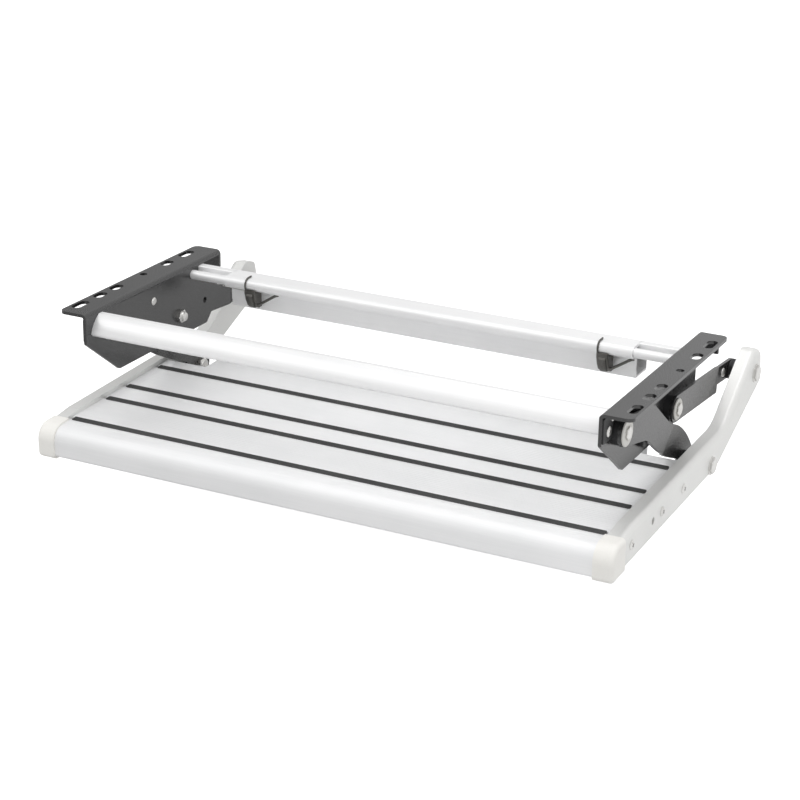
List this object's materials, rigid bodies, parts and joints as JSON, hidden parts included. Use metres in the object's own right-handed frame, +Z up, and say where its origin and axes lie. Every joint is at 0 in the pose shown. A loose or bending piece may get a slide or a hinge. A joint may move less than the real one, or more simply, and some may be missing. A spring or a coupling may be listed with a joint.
{
  "type": "camper entry step",
  "caption": "Retractable entry step for a camper or caravan, stowed: black underfloor brackets, crossbar and rear rod, swing links and a wide aluminium tread on bent side arms.",
  "frame": {"origin": "midway between the small round locating holes, on the top faces of the bracket flanges, which bolt up against the floor", "axes": "+X along the step to its right as seen by a person who is about to step up, +Y back under the floor, +Z up towards the floor"},
  "size_m": [0.556, 0.3608, 0.1279],
  "materials": {
    "black_coat": "satin charcoal black powder coat",
    "extrusion": "fine satin natural extrusion",
    "panel_alloy": "satin anodised tread extrusion",
    "arm_alloy": "smooth satin bar",
    "bright_steel": "bright zinc plated",
    "dark_steel": "dark zinc plated",
    "black_plastic": "matt black nylon",
    "pale_plastic": "off-white nylon",
    "ivory_plastic": "ivory moulded plastic",
    "grip_rubber": "dark grey soft insert"
  },
  "bodies": {
    "frame": {"bracket_left": "black_coat", "bracket_right": "black_coat", "front_crossbar": "extrusion", "crossbar_end_plates": "black_plastic", "crossbar_screws": "bright_steel", "rear_rod": "extrusion", "rod_end_caps": "black_plastic", "rear_channel": "extrusion", "spring_clips": "dark_steel", "clip_wire_left": "dark_steel", "clip_wire_right": "dark_steel", "pivot_bushes": "black_plastic", "pivot_washers": "pale_plastic", "pivot_bolts": "bright_steel", "pivot_nuts": "bright_steel", "glide_buttons": "black_plastic", "web_rivets": "bright_steel"},
    "front_links": {"front_link_left": "black_coat", "front_link_right": "black_coat"},
    "rear_links": {"rear_link_left": "black_coat", "rear_link_right": "black_coat", "rear_link_pins": "bright_steel"},
    "tread": {"tread_panel": "panel_alloy", "grip_strips": "grip_rubber", "side_arm_left": "arm_alloy", "side_arm_right": "arm_alloy", "corner_cap_left": "ivory_plastic", "corner_cap_right": "ivory_plastic", "arm_screws": "bright_steel", "tread_pivot_bolts": "bright_steel", "tread_pivot_spacers": "black_plastic", "tread_pivot_nuts": "bright_steel", "rear_arm_bolts": "bright_steel"}
  },
  "joints": [
    {"name": "front_links_swing", "type": "hinge", "parent": "frame", "child": "front_links", "pos_m": [0, -0.092, -0.0255], "axis": [1, 0, 0], "range_deg": [-108.75, 0]},
    {"name": "rear_links_swing", "type": "hinge", "parent": "frame", "child": "rear_links", "pos_m": [0, 0.0275, -0.0455], "axis": [1, 0, 0], "range_deg": [-152.4, 0]},
    {"name": "tread_levelling", "type": "hinge", "parent": "front_links", "child": "tread", "pos_m": [0, 0.07, -0.109], "axis": [1, 0, 0], "range_deg": [0, 106.9]}
  ],
  "couplings": [
    {"joint": "rear_links_swing", "follows": "front_links_swing", "ratio": 1.4013},
    {"joint": "tread_levelling", "follows": "front_links_swing", "ratio": -0.9828}
  ]
}
